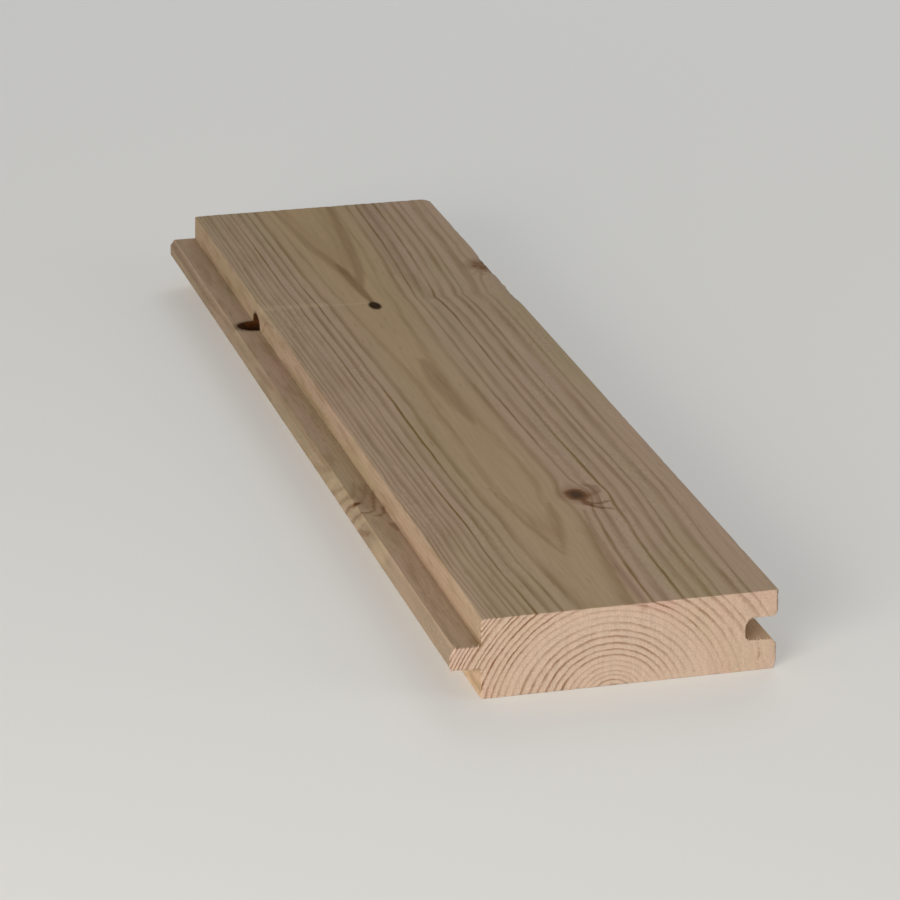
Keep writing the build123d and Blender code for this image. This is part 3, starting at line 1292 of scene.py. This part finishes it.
    def lost_knot(self) -> bpy.types.Mesh:
        """The space of the lost knot, with torn sides and a cupped bottom.

        Returns:
            A closed mesh, in metres.
        """
        branch = next(b for b in self.stem.branches if b.kind is KnotKind.LOST)
        out, along, across = branch.axes()
        bottom, shares = np.array(self.knot_bottom).T
        reach = np.concatenate([bottom[:-1], np.arange(bottom[-1], self.knot_mouth, 0.7)])
        turns = np.linspace(0, 2 * math.pi, 60, endpoint=False)
        rings, middles = [], []
        for t, share in zip(reach, np.interp(reach, bottom, shares)):
            middle = np.array(branch.place) + t * out
            wide = (branch.radius * branch.oval + branch.widening * t) * share
            high = (branch.radius + branch.widening * t) * share
            oval = np.outer(wide * np.cos(turns), along) + np.outer(high * np.sin(turns), across)
            rings.append(middle + oval)
            middles.append(np.tile(middle, (len(turns), 1)))
        places, middle = np.vstack(rings), np.vstack(middles)
        # The torn sides stand up to a tenth of the half-width inside the cone.
        places = places - (places - middle) * (0.05 + 0.05 * ripple(places, (4, 4, 4), 23))[:, None]
        n = len(turns)
        sides = [(a, d, c, b) for a, b, c, d in tube_faces(len(reach), n)]
        faces = [tuple(range(n))[::-1], tuple((len(reach) - 1) * n + j for j in range(n)), *sides]
        mesh = bpy.data.meshes.new("lost_knot")
        mesh.from_pydata((places * MM).tolist(), [], faces)
        solid = bmesh.new()
        solid.from_mesh(mesh)
        bmesh.ops.recalc_face_normals(solid, faces=solid.faces)
        solid.to_mesh(mesh)
        solid.free()
        return mesh

    def splinters(self, solid: bmesh.types.BMesh) -> None:
        """Adds the slivers that the saw tore loose round the near end, on the tongue side and in the groove.

        Args:
            solid: the board, which gets them.
        """
        rng = np.random.default_rng(77)
        outline, inwards = self.moulding.outline, self.moulding.inwards
        hanging = [j for j, (x, z) in enumerate(outline)
                   if (x < WALL + 0.5 and 0.6 < z < THICKNESS - 1) or (45 < x < 54 and 10 < z < 19)]
        # No tip reaches out of the board's own box.
        low = np.array([0.05 - HALF_WIDTH, self.near_end + 0.02, 0.05])
        high = np.array([HALF_WIDTH - 0.05, 0.0, THICKNESS - 0.05])
        for _ in range(self.splinter_count):
            j = int(rng.choice(hanging))
            root = np.array([outline[j][0], self.near_end + rng.uniform(0.1, 0.5), outline[j][1]])
            out = -np.array([inwards[j][0], 0.0, inwards[j][1]])
            turn = np.array([-out[2], 0.0, out[0]])
            length, width = rng.uniform(0.3, 1.1), rng.uniform(0.08, 0.22)
            tip = root + out * length + turn * rng.uniform(-0.5, 0.5) * length
            tip[1] += rng.uniform(0.0, 0.5) * length
            sunk = root - out * 0.15
            back = sunk + np.array([0.0, width * 1.4, 0.0])
            corners = [sunk - turn * width, sunk + turn * width, back, tip]
            verts = [solid.verts.new(np.clip(c, low, high) * MM) for c in corners]
            for a, b, c in ((0, 1, 3), (1, 2, 3), (2, 0, 3), (0, 2, 1)):
                solid.faces.new((verts[a], verts[b], verts[c])).material_index = SAWN

    def dress(self, mesh: bpy.types.Mesh) -> None:
        """Writes the fields of the wood on the mesh and gives each surface its finish.

        Args:
            mesh: the finished shape.
        """
        places = np.empty(len(mesh.vertices) * 3)
        mesh.vertices.foreach_get("co", places)
        places = places.reshape(-1, 3) / MM
        for name, values in self.stem.fields(places).items():
            vector = values.ndim == 2
            attribute = mesh.attributes.new(name, "FLOAT_VECTOR" if vector else "FLOAT", "POINT")
            attribute.data.foreach_set("vector" if vector else "value", values.ravel().astype(np.float32))
        # A face near an end that looks along the grain is sawn, and the rest outside the hole is planed.
        for polygon in mesh.polygons:
            if polygon.material_index != TORN:
                by_an_end = abs(polygon.center.y) > (HALF_LENGTH - 2) * MM
                polygon.material_index = SAWN if by_an_end and abs(polygon.normal.y) > 0.45 else PLANED
            polygon.use_smooth = True
        mesh.set_sharp_from_angle(angle=math.radians(36))

    def build(self) -> bpy.types.Object:
        """Builds and dresses the board.

        Returns:
            The board, in place of the CAD node.
        """
        materials = [finish.material() for finish in (PlanedPine(), SawnEndGrain(), BarkLinedHole())]
        board = bpy.data.objects.new("pine_board", self.body())
        cutter = bpy.data.objects.new("lost_knot", self.lost_knot())
        for piece in (board, cutter):
            bpy.context.scene.collection.objects.link(piece)
            for material in materials:
                piece.data.materials.append(material)
        for polygon in cutter.data.polygons:
            polygon.material_index = TORN
        cut = board.modifiers.new("lost_knot", "BOOLEAN")
        cut.operation, cut.solver, cut.object = "DIFFERENCE", "EXACT", cutter
        cut.material_mode = "INDEX"
        shape = bpy.data.meshes.new_from_object(board.evaluated_get(bpy.context.evaluated_depsgraph_get()))
        board.modifiers.clear()
        board.data = shape
        bpy.data.objects.remove(cutter)
        solid = bmesh.new()
        solid.from_mesh(shape)
        bmesh.ops.triangulate(solid, faces=[f for f in solid.faces if len(f.verts) > 4])
        self.splinters(solid)
        solid.to_mesh(shape)
        solid.free()
        self.dress(shape)
        shape.calc_loop_triangles()
        log.info("%s: %d vertices, %d triangles", board.name, len(shape.vertices), len(shape.loop_triangles))
        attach(board, "root")
        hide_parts("floorboard")
        return board


@dataclass(frozen=True)
class Lamp:
    """A soft square lamp.

    Args:
        name: what it does.
        place: in metres.
        size: side, in metres.
        power: in watts.
        colour: of its light.
    """

    name: str
    place: tuple[float, float, float]
    size: float
    power: float
    colour: str = "#ffffff"

    def build(self, target: Vector) -> None:
        """Hangs the lamp.

        Args:
            target: what it faces, in metres.
        """
        light = bpy.data.lights.new(self.name, "AREA")
        light.shape, light.size, light.energy = "SQUARE", self.size, self.power
        light.color = linear(self.colour)[:3]
        lamp = bpy.data.objects.new(self.name, light)
        lamp.location = self.place
        lamp.rotation_euler = (target - lamp.location).to_track_quat("-Z", "Y").to_euler()
        lamp.visible_camera = False
        bpy.context.scene.collection.objects.link(lamp)


@dataclass(frozen=True)
class Studio:
    """Camera, lamps and floor.

    Args:
        camera_place: in metres.
        turn: degrees that the camera looks to the right of straight along the board.
        tilt: degrees that it looks down.
        roll: degrees that it is turned about its own axis.
        lens: focal length for a 36 mm wide picture, in mm.
        floor_size: side of the floor, in metres.
        ambient: strength of the even light from all round.
        ambient_colour: its colour.
        backdrop: what the camera sees beyond the floor.
    """

    camera_place: tuple[float, float, float] = (-0.37918, -1.41891, 0.54922)
    turn: float = 15.143
    tilt: float = 20.481
    roll: float = 0.184
    lens: float = 167.24
    floor_size: float = 14.0
    ambient: float = 0.25
    ambient_colour: str = "#f8faff"
    backdrop: str = "#e6e6e4"
    lamps: tuple[Lamp, ...] = (
        Lamp("key_lamp", (-1.05, -1.25, 0.34), 0.9, 25.5, "#fff7ec"),
        Lamp("fill_lamp", (1.2, -0.9, 0.5), 0.8, 4.0, "#fff7ec"),
        Lamp("back_lamp", (1.0, 2.2, 1.7), 1.6, 16.0),
    )

    def camera(self) -> bpy.types.Object:
        """Places the camera at the angle of the photograph.

        Returns:
            The camera.
        """
        data = bpy.data.cameras.new("camera")
        data.lens, data.sensor_width, data.clip_end = self.lens, 36.0, 100.0
        camera = bpy.data.objects.new("camera", data)
        camera.matrix_world = (Matrix.Translation(self.camera_place)
                               @ Euler((0, 0, math.radians(-self.turn))).to_matrix().to_4x4()
                               @ Euler((math.radians(90 - self.tilt), 0, 0)).to_matrix().to_4x4()
                               @ Euler((0, 0, math.radians(self.roll))).to_matrix().to_4x4())
        bpy.context.scene.collection.objects.link(camera)
        bpy.context.scene.camera = camera
        return camera

    def surroundings(self) -> None:
        """Even light from all round, and a pale backdrop that only the camera sees."""
        world = bpy.data.worlds.new("studio")
        bpy.context.scene.world = world
        world.use_nodes = True
        tree = world.node_tree
        tree.nodes.clear()
        path = add_node(tree, "LightPath")
        light = add_node(tree, "Background", {"Color": linear(self.ambient_colour),
                                                        "Strength": self.ambient})
        seen = add_node(tree, "Background", {"Color": linear(self.backdrop), "Strength": 1.0})
        mix = add_node(tree, "MixShader", {0: path.outputs["Is Camera Ray"], 1: light.outputs[0],
                                                     2: seen.outputs[0]})
        add_node(tree, "OutputWorld", {"Surface": mix.outputs[0]})

    def floor(self) -> None:
        """Lays the floor that the board lies on."""
        half = self.floor_size / 2
        corners = [(-half, -half, 0), (half, -half, 0), (half, half, 0), (-half, half, 0)]
        mesh = bpy.data.meshes.new("studio_floor")
        mesh.from_pydata(corners, [], [(0, 1, 2, 3)])
        mesh.materials.append(MattPaint().material())
        floor = bpy.data.objects.new("studio_floor", mesh)
        bpy.context.scene.collection.objects.link(floor)

    def build(self) -> None:
        """Builds the surroundings, the lamps, which face the middle of the board, and the floor."""
        self.surroundings()
        target = Vector((0, 0, THICKNESS * MM / 2))
        for lamp in self.lamps:
            lamp.build(target)
        self.floor()


def main() -> None:
    """Builds the camera, the board and the studio, in that order, and notes the sizes."""
    logging.basicConfig(level=logging.INFO, format="%(name)s %(message)s")
    studio = Studio()
    log.info("camera: %s", studio.camera().name)
    board = Floorboard(Stem(), Moulding()).build()
    log.info("built %s", board.name)
    studio.build()
    bpy.context.scene.view_settings.view_transform = "Standard"
    bpy.context.view_layer.update()


if __name__ == "__main__":
    main()
